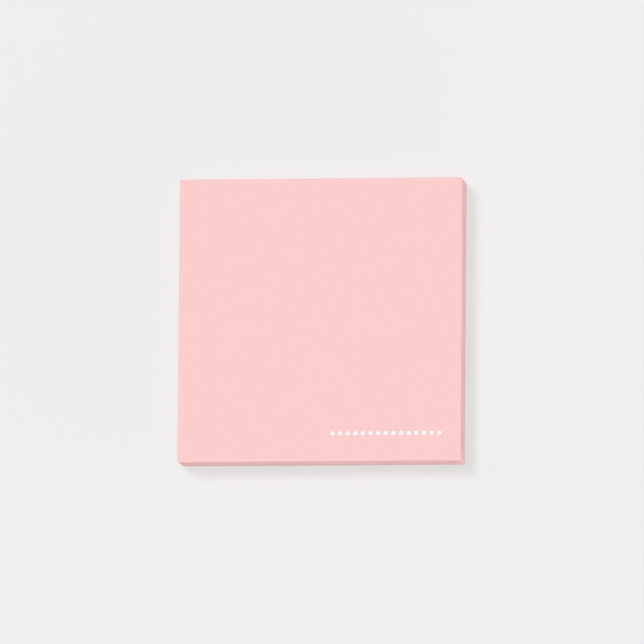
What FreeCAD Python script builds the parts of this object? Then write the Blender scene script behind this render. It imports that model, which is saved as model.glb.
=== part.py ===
import FreeCAD, Part
import os

# Sticky note pad, in millimetres, with +Z up.
# The origin lies on the surface that the pad rests on, under the middle of the pad.
# X runs along the glued edge of the notes, which is the edge at +Y.
# All four sides of the pad are cut flush, so every sheet has the same outline.

# One note
note_width = 76.2
note_length = 76.2
leaf_thickness = 0.09

# The stack of notes
leaf_count = 100

# The band of glue under each leaf, which holds it to the sheet below
glue_thickness = 0.01
glue_width = 16.0
glue_margin = 1.0

# The release liner, which the lowest leaf is stuck to
liner_thickness = 0.12

# Edges of the pad and of its glue bands, across the stack
front_edge = -note_length / 2
back_edge = note_length / 2
left_edge = -note_width / 2
glue_back = back_edge - glue_margin
glue_front = glue_back - glue_width

# Heights in the stack
stack_bottom = liner_thickness
leaf_pitch = glue_thickness + leaf_thickness


def leaf_heights(number):
    """Heights of the underside of a leaf's glue band, of the leaf's underside and of its top."""
    band_bottom = stack_bottom + number * leaf_pitch
    leaf_bottom = band_bottom + glue_thickness
    leaf_top = leaf_bottom + leaf_thickness
    return band_bottom, leaf_bottom, leaf_top


def comb_side(leaf_edge, glue_edge):
    """One side of the stack, from the bottom up: each leaf reaches past the band of glue under it."""
    points = []
    for number in range(leaf_count):
        band_bottom, leaf_bottom, leaf_top = leaf_heights(number)
        points.append(FreeCAD.Vector(left_edge, glue_edge, band_bottom))
        points.append(FreeCAD.Vector(left_edge, glue_edge, leaf_bottom))
        points.append(FreeCAD.Vector(left_edge, leaf_edge, leaf_bottom))
        points.append(FreeCAD.Vector(left_edge, leaf_edge, leaf_top))
    return points


def note_sheets():
    """The glued stack: leaves joined by their glue bands, with a hairline slot on each side of every band."""
    front_side = comb_side(front_edge, glue_front)
    back_side = comb_side(back_edge, glue_back)
    outline = front_side + back_side[::-1]
    wire = Part.makePolygon(outline + outline[:1])
    return Part.Face(wire).extrude(FreeCAD.Vector(note_width, 0, 0))


def backing_sheet():
    """The release liner: one thicker sheet with the outline of a note, under the whole stack."""
    corner = FreeCAD.Vector(left_edge, front_edge, 0)
    outline = Part.makePlane(note_width, note_length, corner)
    return outline.extrude(FreeCAD.Vector(0, 0, liner_thickness))


pieces = {
    "note_sheets": note_sheets(),
    "backing_sheet": backing_sheet(),
}

os.makedirs("parts", exist_ok=True)
for name, shape in pieces.items():
    shape.exportStep(f"parts/{name}.step")
    print(f"{name}: {len(shape.Solids)} solid, volume {shape.Volume:.1f} mm3, valid {shape.isValid()}")
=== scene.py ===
import math

import bpy
import numpy as np
from mathutils import Matrix, Vector


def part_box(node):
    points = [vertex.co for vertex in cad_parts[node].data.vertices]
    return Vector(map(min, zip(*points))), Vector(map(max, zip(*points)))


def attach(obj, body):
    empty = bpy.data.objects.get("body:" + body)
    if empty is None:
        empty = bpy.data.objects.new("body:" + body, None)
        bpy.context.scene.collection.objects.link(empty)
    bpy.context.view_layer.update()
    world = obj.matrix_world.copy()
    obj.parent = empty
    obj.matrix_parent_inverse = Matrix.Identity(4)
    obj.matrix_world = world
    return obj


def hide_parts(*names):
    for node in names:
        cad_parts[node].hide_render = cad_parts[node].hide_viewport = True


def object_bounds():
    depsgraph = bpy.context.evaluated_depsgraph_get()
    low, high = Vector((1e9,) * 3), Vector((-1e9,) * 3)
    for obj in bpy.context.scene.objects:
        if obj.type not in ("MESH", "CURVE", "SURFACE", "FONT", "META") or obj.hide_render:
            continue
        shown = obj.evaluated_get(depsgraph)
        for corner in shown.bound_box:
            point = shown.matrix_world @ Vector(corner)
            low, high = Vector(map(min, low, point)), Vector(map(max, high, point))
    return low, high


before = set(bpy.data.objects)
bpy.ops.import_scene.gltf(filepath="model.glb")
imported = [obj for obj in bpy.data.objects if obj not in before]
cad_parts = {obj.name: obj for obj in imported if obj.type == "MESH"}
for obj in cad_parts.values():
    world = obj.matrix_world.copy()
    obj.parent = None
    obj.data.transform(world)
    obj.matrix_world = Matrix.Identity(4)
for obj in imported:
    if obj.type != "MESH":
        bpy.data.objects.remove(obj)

cad_low, cad_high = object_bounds()

# Sizes are in metres. The pad's own sizes come from the frame.
MM = 0.001
notes_low, notes_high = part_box("note_sheets")
liner_low, liner_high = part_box("backing_sheet")

# The leaves and the band of glue under each of them
LEAF_THICKNESS = 0.09 * MM
LEAF_PITCH = 0.10 * MM
LEAF_COUNT = round((notes_high.z - notes_low.z) / LEAF_PITCH)
GLUE_WIDTH = 16 * MM
GLUE_MARGIN = 1 * MM
GLUE_FRONT = notes_high.y - GLUE_MARGIN - GLUE_WIDTH

# How a cut and handled stack departs from a perfect block
CORNER_RADIUS = 0.32 * MM
CORNER_WEAR = 0.06 * MM
LEAST_WEAR = 0.3
LEAF_SHIFT_STEP = 0.009 * MM
LEAF_SHIFT_MOST = 0.05 * MM
CUT_TILT = 0.007 * MM
CUT_FUZZ = 0.3 * CUT_TILT
FUZZ_HARMONICS = (7, 11, 17, 26)
SLOT_DEPTH = 0.5 * MM
SLOT_DEPTH_PER_GAP = 6
SEED = 7

# The gaps at the free end, as multiples of the usual one: most vary a little, and a few above the stack's
# tight foot are opened wide
LOOSE_LENGTH = 25 * MM
GAP_SPREAD = 0.6
GAP_WAVE = 0.15
GAP_HARMONICS = (1, 2, 3)
OPEN_GAPS = 12
FIRST_OPEN_GAP = LEAF_COUNT // 4
LEAST_OPENED = 2
MOST_OPENED = 4
WIDEST_GAP = 5

# Places on the map that a surface is baked through, as left, bottom, width and height. The large one is for
# the face that shows.
MAP_MARGIN = 0.004
LARGE_MAP = (0.0, 0.4, 0.6, 0.6)
SMALL_MAP = (0.61, 0.61, 0.39, 0.39)
SIDE_MAPS = [(0.0, 0.0, 0.5, 0.2), (0.5, 0.0, 0.5, 0.2), (0.0, 0.2, 0.5, 0.2), (0.5, 0.2, 0.5, 0.2)]

# Each leaf has three rings of the mesh: in the slot under it, at its lower edge and at its upper edge. They
# lie on the map at these shares of a leaf's height.
RING_RISES = np.array([0.0, 0.1, 0.9])
RINGS_PER_LEAF = len(RING_RISES)

# Mesh density, and the angle between faces from which an edge is sharp. A corner is turned in two halves. A
# flat face has rings at these insets from its edge, and a hidden one only at the last two.
SIDE_STEPS = 52
CORNER_STEPS = 4
HALF_CORNER = math.pi / 4
SHARP_ANGLE = math.radians(35)
FACE_INSETS = [0.15 * MM, 0.6 * MM, 2 * MM, 6 * MM, 13 * MM, 22 * MM, 31 * MM]
HIDDEN_FACE_INSETS = FACE_INSETS[-2:]

# Colours, in linear light
NOTE_PINK = (0.974, 0.617, 0.617)
LEAF_EDGE_PINK = (0.95, 0.64, 0.64)
# Paler pink of the upright edges: partly wear, partly a painted highlight
WORN_AND_HIGHLIGHT_PINK = (0.97, 0.80, 0.80)
PRINT_WHITE = (0.96, 0.93, 0.93)
LINER_WHITE = (0.82, 0.80, 0.74)
FLOOR_GREY = (0.863, 0.863, 0.863)

# Tones of the cut edges: random from leaf to leaf; painted shade at the foot of the stack and painted light
# on its top leaves; and paler upright edges, partly wear and partly a painted highlight
LEAF_TONE_SPREAD = 0.03
SHADE_RAMP_HEIGHTS = [0, 0.6, 0.75, 1]
SHADE_RAMP = [0.88, 1.0, 1.0, 1.06]
WORN_AND_HIGHLIGHT_WIDTH = 0.9 * MM
LEAST_WORN_AND_HIGHLIT = 0.2
MOST_WORN_AND_HIGHLIT = 0.7

# Noises in the paper, each as features per metre along X, Y and Z and as octaves of detail. Nearly all of a
# noise lies between the low and the high value.
CLOUD = ((350, 350, 350), 3)
FIBRE = ((5200, 5200, 5200), 2)
FUZZ = ((2500, 2500, 9000), 1)
STREAK = ((22, 22, 37000), 3)
MOTTLE = ((420, 420, 420), 3)
GRAIN = ((3000, 3000, 3000), 2)
NOISE_LOW = 0.3
NOISE_HIGH = 0.7

# What the noises do to the paper: how much they shade its colour, how rough it is, and its relief and shine
CLOUD_SHADES = (0.994, 1.004)
FIBRE_SHADES = (0.994, 1.006)
STREAK_SHADES = (0.96, 1.03)
FUZZ_SHADES = (0.97, 1.02)
MOTTLE_SHADES = (0.985, 1.01)
GRAIN_SHADES = (0.99, 1.01)
NOTE_ROUGHNESS = (0.80, 0.92)
LINER_ROUGHNESS = (0.38, 0.5)
NOTE_RELIEF = 0.006 * MM
NOTE_RELIEF_STRENGTH = 0.35
CLOUD_RELIEF = 0.5
LINER_RELIEF = 0.004 * MM
LINER_RELIEF_STRENGTH = 0.2
NOTE_SHINE = 0.2
LINER_SHINE = 0.4

# Sockets of a Mix node that mixes colours
MIX_SHARE = 0
MIX_FIRST = 6
MIX_SECOND = 7
MIX_RESULT = 2

# The row of printed dots near the lower right corner of the top note
DOT_COUNT = 15
DOT_RADIUS = 0.6 * MM
DOT_PITCH = 2.05 * MM
DOT_RIGHT = 33.4 * MM
DOT_Y = -30.7 * MM

# Light: shares of what reaches the open floor. A colour renders as written where they add up to 1.
SUN_SHARE = 0.47
LOW_SHARE = 0.103
SKY_SHARE = 1 - SUN_SHARE - LOW_SHARE
SKY_LEAN = 0.75
SUN_SLOPE_X = 0.305
SUN_SLOPE_Y = -0.30
SUN_ANGLE = math.radians(15)

# The low light lies between the horizon and a height given as a sine. It falls off as the squared cosine of
# the angle from its side, whose mean round the horizon is a quarter, as the far half gives none.
LOW_TOP = math.sin(math.radians(15))
LOW_AZIMUTH = math.radians(-49)
LOW_SIDE = (math.cos(LOW_AZIMUTH), math.sin(LOW_AZIMUTH), 0)
LOW_MEAN = 0.25
LOW_STRENGTH = LOW_SHARE / (LOW_MEAN * LOW_TOP ** 2)

# The floor: how far it reaches, and how much of the pad's shadow the camera sees on it
FLOOR_REACH = 8.0
FLOOR_SHADOW = 0.33

# Camera: a long lens, a little to the right of and below the pad in the picture
CAMERA_DISTANCE = 3.0
CAMERA_TILT_X = math.radians(6.99)
CAMERA_TILT_Y = math.radians(7.36)
CAMERA_ROLL = math.radians(-0.445)
CAMERA_LENS = 625.9
CAMERA_SENSOR = 36.0

rng = np.random.default_rng(SEED)


def side_points(along, out, tangent, normal):
    """Points of one side of a rounded rectangle, from the middle of one corner to the middle of the next."""
    straight = along - CORNER_RADIUS
    reach = out - CORNER_RADIUS
    half_turn = np.linspace(-HALF_CORNER, 0, CORNER_STEPS // 2 + 1)
    places = np.concatenate([
        -straight + CORNER_RADIUS * np.sin(half_turn),
        np.linspace(-straight, straight, SIDE_STEPS + 1)[1:-1],
        straight - CORNER_RADIUS * np.sin(half_turn[::-1]),
    ])
    heights = np.full(len(places), reach + CORNER_RADIUS)
    heights[: len(half_turn)] = reach + CORNER_RADIUS * np.cos(half_turn)
    heights[-len(half_turn):] = reach + CORNER_RADIUS * np.cos(half_turn[::-1])
    turn = np.zeros(len(places))
    turn[: len(half_turn)] = half_turn
    turn[-len(half_turn):] = -half_turn[::-1]
    points = places[:, None] * tangent + heights[:, None] * normal
    normals = np.sin(turn)[:, None] * tangent + np.cos(turn)[:, None] * normal
    return points[:-1], normals[:-1], np.abs(turn[:-1]) / HALF_CORNER


def perimeter(low, high):
    """The outline of a sheet, anticlockwise from above: points, outward normals and nearness to a corner."""
    half = (np.array(high[:2]) - np.array(low[:2])) / 2
    centre = (np.array(high[:2]) + np.array(low[:2])) / 2
    x_axis = np.array([1.0, 0.0])
    y_axis = np.array([0.0, 1.0])
    sides = [
        side_points(half[0], half[1], x_axis, -y_axis),
        side_points(half[1], half[0], y_axis, x_axis),
        side_points(half[0], half[1], -x_axis, y_axis),
        side_points(half[1], half[0], -y_axis, -x_axis),
    ]
    points, normals, cornering = (np.concatenate(part) for part in zip(*sides))
    return points + centre, normals, cornering


def waves(count, length, harmonics):
    """For each leaf, a smooth random wave round the whole outline, about 1 high."""
    angle = np.linspace(0, 2 * math.pi, length, endpoint=False)
    total = np.zeros((count, length))
    for number in harmonics:
        phase = rng.uniform(0, 2 * math.pi, (count, 1))
        size = rng.normal(0, 1, (count, 1))
        total += size * np.cos(number * angle + phase)
    return total / math.sqrt(len(harmonics))


def smooth_step(reach):
    """A share from 0 to 1 that starts and ends gently."""
    return reach * reach * (3 - 2 * reach)


def leaf_gaps(points):
    """Height of the gap under each leaf along its outline: even where it is glued, uneven at the free end."""
    size = rng.lognormal(0, GAP_SPREAD, (LEAF_COUNT, 1))
    opened = rng.choice(np.arange(FIRST_OPEN_GAP, LEAF_COUNT - 1), OPEN_GAPS, replace=False)
    size[opened] *= rng.uniform(LEAST_OPENED, MOST_OPENED, (OPEN_GAPS, 1))
    size = np.minimum(size, WIDEST_GAP)
    loose = size * np.exp(GAP_WAVE * waves(LEAF_COUNT, len(points), GAP_HARMONICS))
    reach = np.clip((GLUE_FRONT - points[:, 1]) / LOOSE_LENGTH, 0, 1)
    looseness = smooth_step(reach)
    weight = 1 + (loose / loose.mean() - 1) * looseness
    return weight / weight.sum(axis=0) * LEAF_COUNT * (LEAF_PITCH - LEAF_THICKNESS)


def leaf_shifts():
    """A small sideways place for each leaf, which drifts up the stack."""
    drift = np.cumsum(rng.normal(0, LEAF_SHIFT_STEP, (LEAF_COUNT, 2)), axis=0)
    drift -= drift.mean(axis=0)
    drift += rng.normal(0, LEAF_SHIFT_STEP, (LEAF_COUNT, 2))
    return np.clip(drift, -LEAF_SHIFT_MOST, LEAF_SHIFT_MOST)


def drawn_in(points, depth):
    """The outline shrunk about its middle, so that its sides move in by this depth."""
    middle = points.mean(axis=0)
    reach = np.abs(points - middle).max()
    return middle + (points - middle) * (1 - np.broadcast_to(depth, len(points)) / reach)[:, None]


def ring(points, normals, outward, heights):
    """One ring of the mesh: the outline moved outward, at these heights."""
    flat = points + normals * np.broadcast_to(outward, len(points))[:, None]
    return np.column_stack([flat, np.broadcast_to(heights, len(points))])


def inner_ring(points, depth, heights):
    """One ring of the mesh: the outline drawn in by this depth, at these heights."""
    return np.column_stack([drawn_in(points, depth), np.broadcast_to(heights, len(points))])


def stack_rings():
    """Rings of the stack's mesh, from its bottom edge up to its top edge."""
    points, normals, cornering = perimeter(notes_low, notes_high)
    gaps = leaf_gaps(points)
    shifts = leaf_shifts()
    wear = CORNER_WEAR * rng.uniform(LEAST_WEAR, 1, LEAF_COUNT)
    tilts = rng.normal(0, CUT_TILT, LEAF_COUNT)
    fuzz = CUT_FUZZ * waves(LEAF_COUNT, len(points), FUZZ_HARMONICS)
    rings = []
    leaf_bottom = np.full(len(points), notes_low.z)
    for number in range(LEAF_COUNT):
        gap = gaps[number]
        outward = fuzz[number] - wear[number] * cornering
        place = points + shifts[number]
        depth = SLOT_DEPTH + SLOT_DEPTH_PER_GAP * gap
        rings.append(inner_ring(points, depth, leaf_bottom + gap / 2 if number else notes_low.z))
        leaf_bottom = leaf_bottom + gap
        rings.append(ring(place, normals, outward - tilts[number], leaf_bottom))
        leaf_bottom = leaf_bottom + LEAF_THICKNESS
        rings.append(ring(place, normals, outward + tilts[number], leaf_bottom))
    return rings


def closed_mesh(name, rings, bottom_insets, top_insets):
    """A closed mesh through a pile of equal rings, with flat faces over its two ends."""
    under = [inner_ring(rings[0][:, :2], inset, rings[0][:, 2]) for inset in bottom_insets[::-1]]
    over = [inner_ring(rings[-1][:, :2], inset, rings[-1][:, 2]) for inset in top_insets]
    pile = np.array(under + rings + over)
    count = pile.shape[1]
    step = np.arange(count)
    after = (step + 1) % count
    faces = []
    for level in range(len(pile) - 1):
        low = level * count
        high = low + count
        faces.extend(np.column_stack([low + step, low + after, high + after, high + step]).tolist())
    points = pile.reshape(-1, 3)
    bottom_middle = len(points)
    top_middle = bottom_middle + 1
    last = (len(pile) - 1) * count
    faces.extend([bottom_middle, b, a] for a, b in zip(step.tolist(), after.tolist()))
    faces.extend([top_middle, last + a, last + b] for a, b in zip(step.tolist(), after.tolist()))
    middles = [pile[0].mean(axis=0), pile[-1].mean(axis=0)]
    mesh = bpy.data.meshes.new(name)
    mesh.from_pydata(np.concatenate([points, middles]).tolist(), [], faces)
    mesh.validate()
    mesh.shade_smooth()
    mesh.set_sharp_from_angle(angle=SHARP_ANGLE)
    piece = bpy.data.objects.new(name, mesh)
    bpy.context.scene.collection.objects.link(piece)
    return piece, len(under), count


def new_node(tree, kind, inputs=None, **settings):
    """Adds a shader node. An input given as a socket is linked, and any other is set."""
    made = tree.nodes.new(kind)
    for name, value in settings.items():
        setattr(made, name, value)
    for name, value in (inputs or {}).items():
        if isinstance(value, bpy.types.NodeSocket):
            tree.links.new(value, made.inputs[name])
        else:
            made.inputs[name].default_value = value
    return made


def math_node(tree, operation, *values):
    """The result of one Math node."""
    return new_node(tree, "ShaderNodeMath", dict(enumerate(values)), operation=operation).outputs[0]


def ranged(tree, value, low, high, from_low=NOISE_LOW, from_high=NOISE_HIGH):
    """A value mapped from one range, which is a noise's if not given, to another, and held inside it."""
    inputs = {"Value": value, "From Min": from_low, "From Max": from_high, "To Min": low, "To Max": high}
    return new_node(tree, "ShaderNodeMapRange", inputs).outputs["Result"]


def noise(tree, coords, kind):
    """A noise texture of one of the kinds above."""
    stretch, detail = kind
    scaled = new_node(tree, "ShaderNodeVectorMath", {0: coords, 1: stretch}, operation="MULTIPLY")
    inputs = {"Vector": scaled.outputs[0], "Scale": 1.0, "Detail": detail}
    return new_node(tree, "ShaderNodeTexNoise", inputs).outputs["Fac"]


def tinted(tree, colour, shade):
    """A colour multiplied by a grey shade."""
    inputs = {0: colour, "Scale": shade}
    return new_node(tree, "ShaderNodeVectorMath", inputs, operation="SCALE").outputs[0]


def mixed(tree, share, first, second):
    """A mix of two colours."""
    made = new_node(tree, "ShaderNodeMix", data_type="RGBA")
    for number, value in ((MIX_SHARE, share), (MIX_FIRST, first), (MIX_SECOND, second)):
        socket = made.inputs[number]
        if isinstance(value, bpy.types.NodeSocket):
            tree.links.new(value, socket)
        else:
            socket.default_value = (*value, 1)
    return made.outputs[MIX_RESULT]


def worn_corners(tree, split, streak):
    """How much paler the paper is at the upright edges: partly wear from handling, more on some leaves than
    others, and partly a painted highlight where the rounded edge catches light.
    """
    across = math_node(tree, "ABSOLUTE", split.outputs["X"])
    along = math_node(tree, "ABSOLUTE", split.outputs["Y"])
    nearest = math_node(tree, "MINIMUM", across, along)
    nearness = ranged(tree, nearest, 0, 1, notes_high.x - WORN_AND_HIGHLIGHT_WIDTH, notes_high.x)
    worn = math_node(tree, "MULTIPLY", nearness, nearness)
    return math_node(tree, "MULTIPLY", worn, ranged(tree, streak, LEAST_WORN_AND_HIGHLIT, MOST_WORN_AND_HIGHLIT))


def dot_row(tree, split):
    """1 inside the printed dots, and 0 elsewhere."""
    left = DOT_RIGHT - DOT_COUNT * DOT_PITCH
    place = math_node(tree, "DIVIDE", math_node(tree, "SUBTRACT", split.outputs["X"], left), DOT_PITCH)
    from_middle = math_node(tree, "SUBTRACT", math_node(tree, "FRACT", place), 0.5)
    across = math_node(tree, "MULTIPLY", from_middle, DOT_PITCH)
    up = math_node(tree, "SUBTRACT", split.outputs["Y"], DOT_Y)
    across_squared = math_node(tree, "MULTIPLY", across, across)
    up_squared = math_node(tree, "MULTIPLY", up, up)
    distance = math_node(tree, "SQRT", math_node(tree, "ADD", across_squared, up_squared))
    inside = math_node(tree, "LESS_THAN", distance, DOT_RADIUS)
    after_first = math_node(tree, "GREATER_THAN", place, 0.0)
    before_last = math_node(tree, "LESS_THAN", place, float(DOT_COUNT))
    row = math_node(tree, "MULTIPLY", inside, math_node(tree, "MULTIPLY", after_first, before_last))
    above = math_node(tree, "GREATER_THAN", split.outputs["Z"], notes_high.z - LEAF_THICKNESS / 2)
    return math_node(tree, "MULTIPLY", row, above)


def empty_material(name):
    """A material with only its shader and output, and the object's own coordinates to paint by."""
    material = bpy.data.materials.new(name)
    material.use_nodes = True
    tree = material.node_tree
    tree.nodes.clear()
    coords = new_node(tree, "ShaderNodeTexCoord").outputs["Object"]
    shader = new_node(tree, "ShaderNodeBsdfPrincipled")
    new_node(tree, "ShaderNodeOutputMaterial", {"Surface": shader.outputs[0]})
    return material, tree, coords, shader


def shaded(tree, first, first_shades, second, second_shades):
    """The grey shade that two noises make together."""
    first_shade = ranged(tree, first, *first_shades)
    second_shade = ranged(tree, second, *second_shades)
    return math_node(tree, "MULTIPLY", first_shade, second_shade)


def finish_paper(tree, shader, colour, roughness, height, relief, relief_strength, shine):
    """Gives a paper its colour, roughness, relief and shine."""
    inputs = {"Strength": relief_strength, "Distance": relief, "Height": height}
    bump = new_node(tree, "ShaderNodeBump", inputs)
    tree.links.new(colour, shader.inputs["Base Color"])
    tree.links.new(roughness, shader.inputs["Roughness"])
    tree.links.new(bump.outputs[0], shader.inputs["Normal"])
    shader.inputs["Specular IOR Level"].default_value = shine


def stored(tree, name):
    """A number that the mesh holds for each of its faces."""
    return new_node(tree, "ShaderNodeAttribute", attribute_name=name).outputs["Fac"]


def leaf_streak(tree, split):
    """Streaks along the cut sides, which change from leaf to leaf."""
    height = math_node(tree, "MULTIPLY", stored(tree, "leaf_number"), LEAF_PITCH)
    inputs = {"X": split.outputs["X"], "Y": split.outputs["Y"], "Z": height}
    return noise(tree, new_node(tree, "ShaderNodeCombineXYZ", inputs).outputs[0], STREAK)


def cut_side(tree, split, fuzz):
    """Colour of the cut sides: streaked, toned leaf by leaf with painted shade at the foot and painted light
    at the top, and paler at the upright edges with wear and a painted highlight.
    """
    streak = leaf_streak(tree, split)
    shade = shaded(tree, streak, STREAK_SHADES, fuzz, FUZZ_SHADES)
    # Each leaf's tone: random, times the painted shade at the foot and the painted light at the top
    shade = math_node(tree, "MULTIPLY", shade, stored(tree, "leaf_tone_and_shade"))
    return mixed(tree, worn_corners(tree, split, streak), tinted(tree, LEAF_EDGE_PINK, shade), WORN_AND_HIGHLIGHT_PINK)


def note_paper():
    """Uncoated pink paper: soft clouds and fine fibre, printed dots on the top note, and cut sides."""
    material, tree, coords, shader = empty_material("pink_note_paper")
    cloud = noise(tree, coords, CLOUD)
    fibre = noise(tree, coords, FIBRE)
    fuzz = noise(tree, coords, FUZZ)
    split = new_node(tree, "ShaderNodeSeparateXYZ", {0: coords})
    face = tinted(tree, NOTE_PINK, shaded(tree, cloud, CLOUD_SHADES, fibre, FIBRE_SHADES))
    printed = mixed(tree, dot_row(tree, split), face, PRINT_WHITE)
    colour = mixed(tree, stored(tree, "cut_edge"), printed, cut_side(tree, split, fuzz))
    roughness = ranged(tree, fibre, *NOTE_ROUGHNESS)
    height = math_node(tree, "ADD", fibre, math_node(tree, "MULTIPLY", cloud, CLOUD_RELIEF))
    finish_paper(tree, shader, colour, roughness, height, NOTE_RELIEF, NOTE_RELIEF_STRENGTH, NOTE_SHINE)
    return material


def liner_paper():
    """The release liner: pale coated paper, smoother than the notes, with a faint mottle."""
    material, tree, coords, shader = empty_material("liner_paper")
    mottle = noise(tree, coords, MOTTLE)
    grain = noise(tree, coords, GRAIN)
    colour = tinted(tree, LINER_WHITE, shaded(tree, mottle, MOTTLE_SHADES, grain, GRAIN_SHADES))
    roughness = ranged(tree, mottle, *LINER_ROUGHNESS)
    finish_paper(tree, shader, colour, roughness, grain, LINER_RELIEF, LINER_RELIEF_STRENGTH, LINER_SHINE)
    return material


def face_values(piece, name, values):
    """Stores one number for each face, for the material to read."""
    layer = piece.data.attributes.new(name, "FLOAT", "FACE")
    layer.data.foreach_set("value", np.asarray(values, np.float32))


def placed(box, across, up):
    """Places on the map, from 0 to 1 across and up one of its boxes."""
    left, bottom, width, height = box
    return np.column_stack([
        left + MAP_MARGIN + across * (width - 2 * MAP_MARGIN),
        bottom + MAP_MARGIN + up * (height - 2 * MAP_MARGIN),
    ])


def face_bands(mesh, first_ring, count):
    """For each face of a closed mesh, the number of the ring at its foot: below 0 on the underside."""
    bands = np.arange(len(mesh.polygons)) // count - first_ring
    # The last but one group of faces is the fan of triangles that closes the underside
    bands[-2 * count: -count] = -1
    return bands


def face_corners(mesh):
    """For each corner of each face, the numbers of its vertex and of its face."""
    vertex = np.empty(len(mesh.loops), np.int32)
    mesh.loops.foreach_get("vertex_index", vertex)
    corners = np.empty(len(mesh.polygons), np.int32)
    mesh.polygons.foreach_get("loop_total", corners)
    return vertex, np.repeat(np.arange(len(corners)), corners)


def bake_map(mesh, first_ring, count, ring_rises, top_map, under_map):
    """Lays out a closed mesh on its map: top, underside and four sides, with each ring at its own height."""
    vertex, face = face_corners(mesh)
    band = face_bands(mesh, first_ring, count)[face]
    points = np.empty(3 * len(mesh.vertices))
    mesh.vertices.foreach_get("co", points)
    points = points.reshape(-1, 3)[vertex]
    right = (points[:, 0] - notes_low.x) / (notes_high.x - notes_low.x)
    back = (points[:, 1] - notes_low.y) / (notes_high.y - notes_low.y)
    up = ring_rises[np.clip(vertex // count - first_ring, 0, len(ring_rises) - 1)]
    side = face % count // (count // len(SIDE_MAPS))
    places = placed(top_map, right, back)
    under = band < 0
    places[under] = placed(under_map, right, 1 - back)[under]
    on_sides = (band >= 0) & (band < len(ring_rises) - 1)
    for number, along in enumerate((right, back, 1 - right, 1 - back)):
        here = on_sides & (side == number)
        places[here] = placed(SIDE_MAPS[number], along, up)[here]
    layer = mesh.uv_layers.new(name="OFBake")
    layer.data.foreach_set("uv", places.astype(np.float32).ravel())


def note_stack():
    """All the notes: every leaf's cut edge and the slot between it and the next, as one closed mesh."""
    rings = stack_rings()
    piece, first_ring, count = closed_mesh("note_stack", rings, HIDDEN_FACE_INSETS, FACE_INSETS)
    mesh = piece.data
    bands = face_bands(mesh, first_ring, count)
    on_sides = (bands >= 0) & (bands < len(rings) - 1)
    leaf = np.clip(bands // RINGS_PER_LEAF, 0, LEAF_COUNT - 1)
    tones_and_shade = rng.normal(1, LEAF_TONE_SPREAD, LEAF_COUNT)
    # Painted shade darkens the cut edges towards the foot of the stack, and painted light brightens the top
    # leaves
    tones_and_shade *= np.interp(np.arange(LEAF_COUNT) / LEAF_COUNT, SHADE_RAMP_HEIGHTS, SHADE_RAMP)
    face_values(piece, "cut_edge", on_sides)
    face_values(piece, "leaf_tone_and_shade", tones_and_shade[leaf])
    face_values(piece, "leaf_number", leaf)
    rises = (np.arange(LEAF_COUNT)[:, None] + RING_RISES).ravel() / LEAF_COUNT
    bake_map(mesh, first_ring, count, rises, LARGE_MAP, SMALL_MAP)
    mesh.materials.append(note_paper())
    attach(piece, "root")
    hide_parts("note_sheets")


def liner():
    """The release liner under the notes, its corners rounded in by the same wear as the leaves."""
    points, normals, cornering = perimeter(liner_low, liner_high)
    outward = -CORNER_WEAR * cornering
    rings = [ring(points, normals, outward, height) for height in (liner_low.z, liner_high.z)]
    piece, first_ring, count = closed_mesh("liner", rings, FACE_INSETS, FACE_INSETS)
    bake_map(piece.data, first_ring, count, np.array([0, 1]), SMALL_MAP, LARGE_MAP)
    piece.data.materials.append(liner_paper())
    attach(piece, "root")
    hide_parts("backing_sheet")


def floor():
    """A large pale floor. The camera sees mostly its plain colour, with a light shadow of the pad on it."""
    reach = FLOOR_REACH
    corners = [(-reach, -reach, 0), (reach, -reach, 0), (reach, reach, 0), (-reach, reach, 0)]
    mesh = bpy.data.meshes.new("floor")
    mesh.from_pydata(corners, [], [(0, 1, 2, 3)])
    plane = bpy.data.objects.new("floor", mesh)
    bpy.context.scene.collection.objects.link(plane)
    material = bpy.data.materials.new("floor")
    material.use_nodes = True
    tree = material.node_tree
    tree.nodes.clear()
    lit = new_node(tree, "ShaderNodeBsdfDiffuse", {"Color": (*FLOOR_GREY, 1)})
    plain = new_node(tree, "ShaderNodeEmission", {"Color": (*FLOOR_GREY, 1), "Strength": 1.0})
    path = new_node(tree, "ShaderNodeLightPath")
    share = math_node(tree, "MULTIPLY", path.outputs["Is Camera Ray"], 1 - FLOOR_SHADOW)
    blend = new_node(tree, "ShaderNodeMixShader", {0: share, 1: lit.outputs[0], 2: plain.outputs[0]})
    new_node(tree, "ShaderNodeOutputMaterial", {"Surface": blend.outputs[0]})
    mesh.materials.append(material)


def sky_strength(tree):
    """Strength of the sky: more from the sun's side, and low light on the corner in the sun's shade."""
    coords = new_node(tree, "ShaderNodeTexCoord").outputs["Generated"]
    height = new_node(tree, "ShaderNodeSeparateXYZ", {0: coords}).outputs["Z"]
    compared = new_node(tree, "ShaderNodeVectorMath", {0: coords, 1: LOW_SIDE}, operation="DOT_PRODUCT")
    facing = compared.outputs["Value"]
    low_down = math_node(tree, "LESS_THAN", height, LOW_TOP)
    toward = math_node(tree, "POWER", math_node(tree, "MAXIMUM", facing, 0.0), 2.0)
    low_light = math_node(tree, "MULTIPLY", math_node(tree, "MULTIPLY", low_down, toward), LOW_STRENGTH)
    lean = math_node(tree, "MULTIPLY", facing, SKY_LEAN * SKY_SHARE)
    return math_node(tree, "ADD", low_light, math_node(tree, "SUBTRACT", SKY_SHARE, lean))


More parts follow.
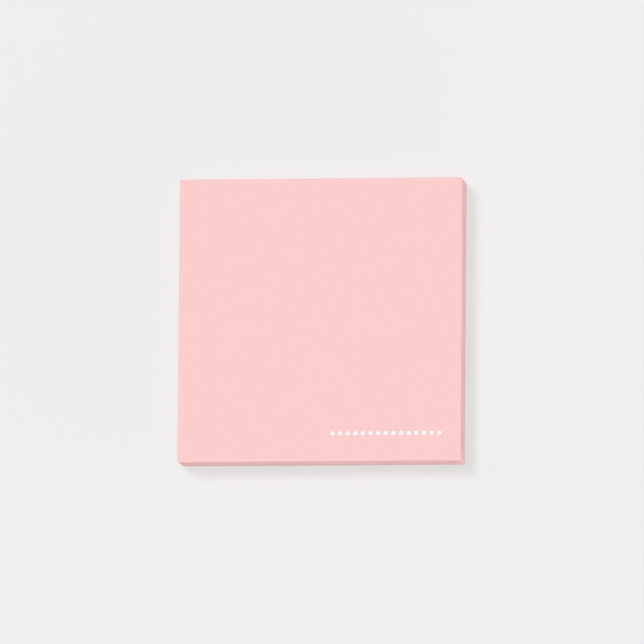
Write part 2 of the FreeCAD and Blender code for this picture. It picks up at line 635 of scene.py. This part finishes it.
def world_light():
    """Light from all round, which the camera and mirror-like surfaces see as plain floor grey."""
    world = bpy.data.worlds.new("studio")
    bpy.context.scene.world = world
    world.use_nodes = True
    tree = world.node_tree
    tree.nodes.clear()
    light = new_node(tree, "ShaderNodeBackground", {"Color": (1, 1, 1, 1), "Strength": sky_strength(tree)})
    seen = new_node(tree, "ShaderNodeBackground", {"Color": (*FLOOR_GREY, 1), "Strength": 1.0})
    path = new_node(tree, "ShaderNodeLightPath")
    looked = math_node(tree, "MAXIMUM", path.outputs["Is Camera Ray"], path.outputs["Is Glossy Ray"])
    looked = math_node(tree, "MAXIMUM", looked, path.outputs["Is Transmission Ray"])
    blend = new_node(tree, "ShaderNodeMixShader", {0: looked, 1: light.outputs[0], 2: seen.outputs[0]})
    new_node(tree, "ShaderNodeOutputWorld", {"Surface": blend.outputs[0]})


def sun_light():
    """The key light, from the upper left of the picture."""
    direction = Vector((SUN_SLOPE_X, SUN_SLOPE_Y, -1)).normalized()
    light = bpy.data.lights.new("sun", "SUN")
    # A floor under an upright sun of energy pi renders as its own colour
    light.energy = math.pi * SUN_SHARE / -direction.z
    light.angle = SUN_ANGLE
    lamp = bpy.data.objects.new("sun", light)
    lamp.rotation_mode = "QUATERNION"
    lamp.rotation_quaternion = direction.to_track_quat("-Z", "Y")
    bpy.context.scene.collection.objects.link(lamp)


def camera():
    """Looks down on the middle of the pad, from beyond its lower right corner in the picture."""
    middle = (cad_low + cad_high) / 2
    back = Vector((math.tan(CAMERA_TILT_X), -math.tan(CAMERA_TILT_Y), 1)).normalized()
    up = Vector((math.sin(CAMERA_ROLL), math.cos(CAMERA_ROLL), 0))
    right = up.cross(back).normalized()
    turn = Matrix((right, back.cross(right), back)).transposed()
    data = bpy.data.cameras.new("camera")
    data.lens = CAMERA_LENS
    data.sensor_width = CAMERA_SENSOR
    made = bpy.data.objects.new("camera", data)
    made.matrix_world = Matrix.Translation(middle + back * CAMERA_DISTANCE) @ turn.to_4x4()
    bpy.context.scene.collection.objects.link(made)
    bpy.context.scene.camera = made


note_stack()
liner()
floor()
world_light()
sun_light()
camera()
bpy.context.scene.view_settings.view_transform = "Standard"
